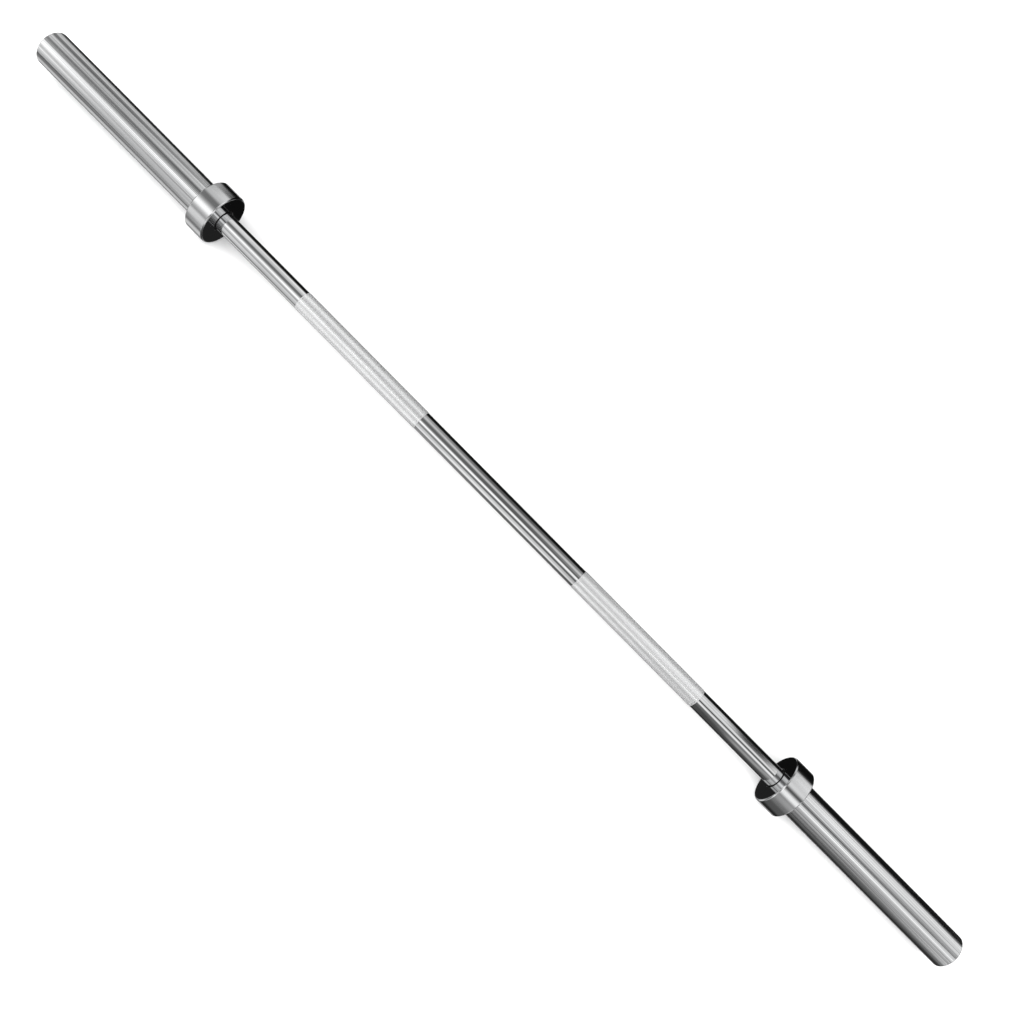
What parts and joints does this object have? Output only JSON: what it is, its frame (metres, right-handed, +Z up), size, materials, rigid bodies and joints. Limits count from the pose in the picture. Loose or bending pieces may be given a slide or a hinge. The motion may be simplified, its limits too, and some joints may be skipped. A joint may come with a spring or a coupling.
{
  "type": "olympic barbell",
  "caption": "Short olympic weightlifting bar: a knurled chrome shaft with a freely turning 50 mm loading sleeve and a wide stop collar at each end.",
  "frame": {"origin": "the middle of the shaft, on its axis", "axes": "+X along the bar to its right end, +Z up when the bar lies on a level floor"},
  "size_m": [1.676, 0.076, 0.076],
  "materials": {
    "shaft_chrome": "bright polished chrome plate; the knurled bands are paler and matt",
    "sleeve_chrome": "fine ground chrome plate with faint lengthwise streaks",
    "collar_chrome": "polished chrome plate with bright bevelled rims and a mirror-like inner face",
    "seal_rubber": "matt black rubber",
    "bearing_bronze": "turned oil-filled bronze",
    "washer_steel": "ground hardened steel",
    "spring_steel": "black phosphated spring steel",
    "cap_steel": "turned and plated steel"
  },
  "bodies": {
    "bar": {"shaft": "shaft_chrome", "left_inner_thrust_washer": "washer_steel", "left_outer_thrust_washer": "washer_steel", "left_snap_ring": "spring_steel", "right_inner_thrust_washer": "washer_steel", "right_outer_thrust_washer": "washer_steel", "right_snap_ring": "spring_steel"},
    "left_sleeve_assembly": {"left_sleeve": "sleeve_chrome", "left_collar": "collar_chrome", "left_dust_seal": "seal_rubber", "left_inner_bushing": "bearing_bronze", "left_outer_bushing": "bearing_bronze", "left_end_cap": "cap_steel", "left_cap_circlip": "spring_steel"},
    "right_sleeve_assembly": {"right_sleeve": "sleeve_chrome", "right_collar": "collar_chrome", "right_dust_seal": "seal_rubber", "right_inner_bushing": "bearing_bronze", "right_outer_bushing": "bearing_bronze", "right_end_cap": "cap_steel", "right_cap_circlip": "spring_steel"}
  },
  "joints": [
    {"name": "left_sleeve_spin", "type": "hinge", "parent": "bar", "child": "left_sleeve_assembly", "pos_m": [-0.693, 0, 0], "axis": [1, 0, 0], "continuous": true},
    {"name": "right_sleeve_spin", "type": "hinge", "parent": "bar", "child": "right_sleeve_assembly", "pos_m": [0.693, 0, 0], "axis": [1, 0, 0], "continuous": true}
  ]
}
